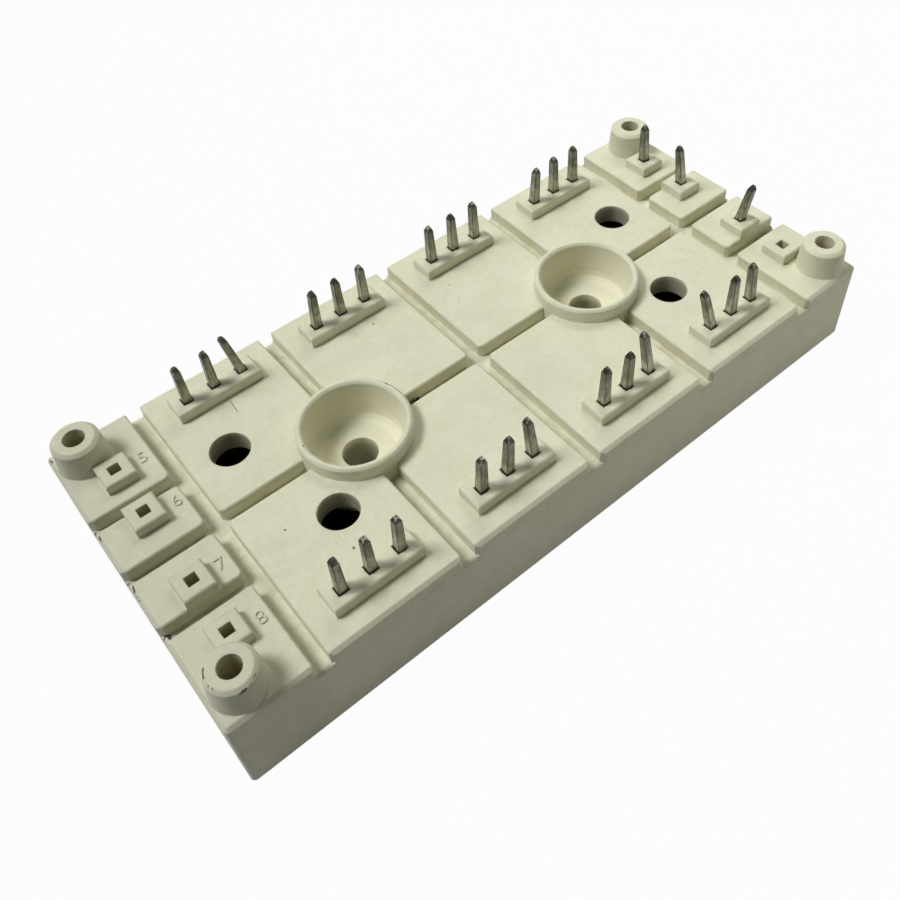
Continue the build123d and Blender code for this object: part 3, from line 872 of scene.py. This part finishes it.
def housing_wells() -> tuple[Well, ...]:
    """Lists the openings of the moulding's right half, whose walls get painted shade and, in the
    bowl, painted bounce light; the left half mirrors them.

    Returns:
        The pads' square openings, the ports, the screw bowl, the hole in its floor and the
        boss holes.
    """
    floor, panel, rail, rim, boss = Level.BOWL_FLOOR, Level.PANEL, Level.RAIL, Level.RIM, Level.BOSS
    # Painted bounce light for the bowl, and painted shade for the ports, the holes and the openings.
    painted_bounce_light, shade = srgb(233, 231, 206), srgb(84, 80, 60)
    painted_hole_shade, painted_opening_shade = srgb(108, 102, 60), srgb(148, 132, 84)
    pad_x, bowl_x, boss_x = 41.4, 18.0, 43.2
    pads = tuple(Well(mm(pad_x, y, 0), 0.95, rail.over(-0.1), rail.over(-1.2), painted_opening_shade, 0.5)
                 for y in (12.6, 5.4, -5.4, -12.6))
    ports = tuple(Well(mm(x, y, 0), 2.7, panel.over(-0.1), panel.over(-0.9), shade, 0.45)
                  for x, y in ((30.1, 7.55), (25.4, -7.55)))
    bowl = (
        Well(mm(bowl_x, 0, 0), 5.95, rim.over(-0.2), rim.over(-0.8), painted_bounce_light, 0.5),
        Well(mm(bowl_x, 0, 0), 2.3, floor.over(-0.1), floor.over(-1.6), painted_hole_shade, 0.6),
    )
    bosses = tuple(Well(mm(boss_x, y, 0), 1.35, boss.over(-0.2), boss.over(-2.0), painted_opening_shade, 0.5)
                   for y in (17.4, -17.4))
    return pads + ports + bowl + bosses


@dataclass
class Housing:
    """The ivory moulding and the small raised numbers beside its pads."""

    smooth_angle: float = math.radians(32.0)
    number_size: float = 2.3 * MM
    number_relief: float = 0.14 * MM
    number_thinning: float = 0.03 * MM
    number_turns: int = 4
    numbers: tuple[tuple[str, Place], ...] = (
        ("5", Level.PANEL.at(-38.2, 13.1)),
        ("6", Level.PANEL.at(-38.0, 5.2)),
        ("7", Level.PANEL.at(-38.2, -4.9)),
        ("8", Level.PANEL.at(-38.1, -12.9)),
    )

    def number(self, text: str, middle: Place) -> bpy.types.Object:
        """Raises one number from its panel.

        Args:
            text: the number.
            middle: the middle of its foot.

        Returns:
            The number's piece.
        """
        deselect_all()
        bpy.ops.object.text_add(location=middle)
        piece = bpy.context.object
        piece.name = f"raised_number_{text}"
        piece.data.body = text
        piece.data.size = self.number_size
        piece.data.align_x = "CENTER"
        piece.data.align_y = "CENTER"
        piece.data.extrude = self.number_relief
        piece.data.offset = -self.number_thinning
        piece.data.resolution_u = self.number_turns
        bpy.ops.object.convert(target="MESH")
        bpy.ops.object.transform_apply(location=True, rotation=True, scale=True)
        bpy.ops.object.shade_smooth_by_angle(angle=self.smooth_angle)
        return piece

    def build(self) -> list[bpy.types.Object]:
        """Raises the numbers and gives them and the moulding their plastic.

        Returns:
            The pieces.
        """
        finish = IvoryPlastic(marks=photograph_marks(), wells=housing_wells())
        numbers = [self.number(text, middle) for text, middle in self.numbers]
        for piece in numbers:
            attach(piece, "root")
        pieces = [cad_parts["housing"], *numbers]
        for piece in pieces:
            finish.dress(piece)
        return pieces


def plain_finishes() -> dict[Slot, Finish]:
    """Gives the finish of every slot but the housing's."""
    return {
        Slot.PINS: DullTin(),
        Slot.COPPER: Copper(),
        Slot.CERAMIC: Speckled(
            "alumina", srgb(240, 239, 234), srgb(226, 224, 216), 1600, 0.42, 0.6),
        Slot.ADHESIVE: Speckled(
            "cured_silicone", srgb(70, 70, 72), srgb(44, 44, 46), 700, 0.35, 0.6, relief=0.06 * MM),
        # The gel is made near black, as painted shade inside the ports.
        Slot.GEL: Speckled(
            "silicone_gel_painted_shade", srgb(52, 52, 46), srgb(30, 30, 27), 240, 0.08, 0.2,
            coat=0.5, alpha=0.85),
        Slot.CHIPS: Speckled(
            "metallised_silicon", srgb(142, 144, 152), srgb(104, 106, 116), 2200, 0.22, 0.45,
            metallic=0.7),
        Slot.RIBBONS: Speckled(
            "bonded_aluminium", srgb(222, 222, 224), srgb(188, 188, 192), 2600, 0.2, 0.42,
            metallic=1.0, stretch=(1.0, 0.1, 0.1)),
    }


@dataclass
class Fittings:
    """Every node but the moulding: the pins, and the substrate with what lies on it."""

    finishes: dict[Slot, Finish] = field(default_factory=plain_finishes)

    def dress(self) -> list[bpy.types.Object]:
        """Gives each node the finish of its slot.

        Returns:
            The dressed nodes.
        """
        done = []
        for name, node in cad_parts.items():
            slot = Slot.of(name)
            if slot is not Slot.HOUSING:
                self.finishes[slot].dress(node)
                done.append(node)
        return done


class LampKind(Enum):
    """The two kinds of studio lamp."""

    SOFT_BOX = "AREA"
    SOFT_SPOT = "SPOT"


@dataclass(frozen=True)
class Lamp:
    """A soft lamp: square and even, or round with light that thins out from its middle."""

    name: str
    kind: LampKind
    place: Place
    side: float
    power: float
    colour: Colour = WHITE
    aim: Place = ORIGIN
    cone: float = 0.0

    def build(self) -> None:
        """Hangs the lamp."""
        data = bpy.data.lights.new(self.name, self.kind.value)
        data.energy = self.power
        data.color = self.colour
        if self.kind is LampKind.SOFT_BOX:
            data.shape = "SQUARE"
            data.size = self.side
        else:
            data.shadow_soft_size = self.side / 2
            data.spot_size = self.cone
            data.spot_blend = 1.0
        lamp = bpy.data.objects.new(self.name, data)
        lamp.location = self.place
        ahead = Vector(self.aim) - Vector(self.place)
        lamp.rotation_euler = ahead.to_track_quat("-Z", "Y").to_euler()
        bpy.context.scene.collection.objects.link(lamp)


@dataclass(frozen=True)
class Camera:
    """The photograph's fitted viewpoint: its place, and where right and up point in the scene."""

    sensor: float = 36.0
    lens: float = 39.4124
    shift: tuple[float, float] = (-0.050209, -0.121439)
    nearest: float = 0.005
    place: Place = mm(-47.409, -65.442, 100.898)
    right: Place = (0.767015, -0.640427, -0.039253)
    up: Place = (0.488825, 0.543628, 0.68229)

    def build(self) -> None:
        """Sets up the camera."""
        data = bpy.data.cameras.new("camera")
        data.sensor_width = self.sensor
        data.lens = self.lens
        data.shift_x, data.shift_y = self.shift
        data.clip_start = self.nearest
        right = Vector(self.right).normalized()
        back = right.cross(Vector(self.up)).normalized()
        turn = Matrix((right, back.cross(right), back)).transposed().to_4x4()
        camera = bpy.data.objects.new("camera", data)
        camera.matrix_world = Matrix.Translation(self.place) @ turn
        bpy.context.scene.collection.objects.link(camera)
        bpy.context.scene.camera = camera


@dataclass
class Studio:
    """Floor, lamps, surroundings and camera."""

    floor_side: float = 4.0
    floor_grey: float = 0.3
    floor_glow: float = 0.97
    surround: float = 0.0
    lamps: tuple[Lamp, ...] = (
        Lamp("key", LampKind.SOFT_SPOT, (-0.27, 0.225, 0.60), 0.50, 54.0, aim=(0.050, 0.0, 0.0),
             cone=math.radians(30)),
        Lamp("left_fill", LampKind.SOFT_BOX, (-0.36, 0.30, 0.45), 0.25, 0.05),
        Lamp("front_fill", LampKind.SOFT_BOX, (0.10, -0.15, 0.05), 0.10, 0.052, (1.0, 0.98, 0.80)),
        Lamp("top_fill", LampKind.SOFT_BOX, (0.12, 0.10, 0.22), 0.12, 0.20, (1.0, 0.98, 0.86)),
    )
    camera: Camera = Camera()

    def seen(self, graph: Graph) -> Socket:
        """Gives 1 for what the camera, gloss or a clear surface sees, and 0 for plain light."""
        rays = graph.add("ShaderNodeLightPath").outputs
        indirect = graph.math("MAXIMUM", rays["Is Glossy Ray"], rays["Is Transmission Ray"])
        return graph.math("MAXIMUM", rays["Is Camera Ray"], indirect)

    def floor(self) -> None:
        """Lays the plain pale floor, white to the camera where no shadow falls."""
        deselect_all()
        bpy.ops.mesh.primitive_plane_add(size=self.floor_side, location=ORIGIN)
        floor = bpy.context.object
        floor.name = "floor"
        material = bpy.data.materials.new("white_floor")
        material.use_nodes = True
        graph = Graph(material.node_tree)
        output = graph.add("ShaderNodeOutputMaterial")
        matt = graph.add("ShaderNodeBsdfDiffuse")
        graph.feed(matt.inputs["Color"], (self.floor_grey, self.floor_grey, self.floor_grey))
        glow = graph.add("ShaderNodeEmission")
        graph.feed(glow.inputs["Color"], WHITE)
        blend = graph.add("ShaderNodeMixShader")
        graph.wire(graph.math("MULTIPLY", self.seen(graph), self.floor_glow), blend.inputs[0])
        graph.wire(matt.outputs[0], blend.inputs[1])
        graph.wire(glow.outputs[0], blend.inputs[2])
        graph.wire(blend.outputs[0], output.inputs[0])
        floor.data.materials.append(material)

    def world(self) -> None:
        """Sets the even surroundings: white to the camera and in gloss, surround to all else."""
        world = bpy.data.worlds.new("studio")
        world.use_nodes = True
        graph = Graph(world.node_tree)
        output = graph.add("ShaderNodeOutputWorld")
        light = graph.add("ShaderNodeBackground")
        graph.feed(light.inputs["Color"], WHITE)
        strength = graph.ramp(self.seen(graph), Ramp(0.0, 1.0, self.surround, 1.0))
        graph.wire(strength, light.inputs["Strength"])
        graph.wire(light.outputs[0], output.inputs[0])
        bpy.context.scene.world = world

    def build(self) -> None:
        """Builds the whole studio."""
        self.floor()
        self.world()
        for lamp in self.lamps:
            lamp.build()
        self.camera.build()
        bpy.context.scene.view_settings.view_transform = "Standard"


def report(pieces: list[bpy.types.Object]) -> None:
    """Writes one line for each piece."""
    for piece in pieces:
        LOG.info("%s: %d faces", piece.name, len(piece.data.polygons))


def main() -> None:
    """Builds the classes in order."""
    logging.basicConfig(level=logging.INFO, format="%(name)s %(message)s")
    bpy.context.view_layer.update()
    deselect_all()
    report(Housing().build())
    report(Fittings().dress())
    Studio().build()


if __name__ == "__main__":
    main()
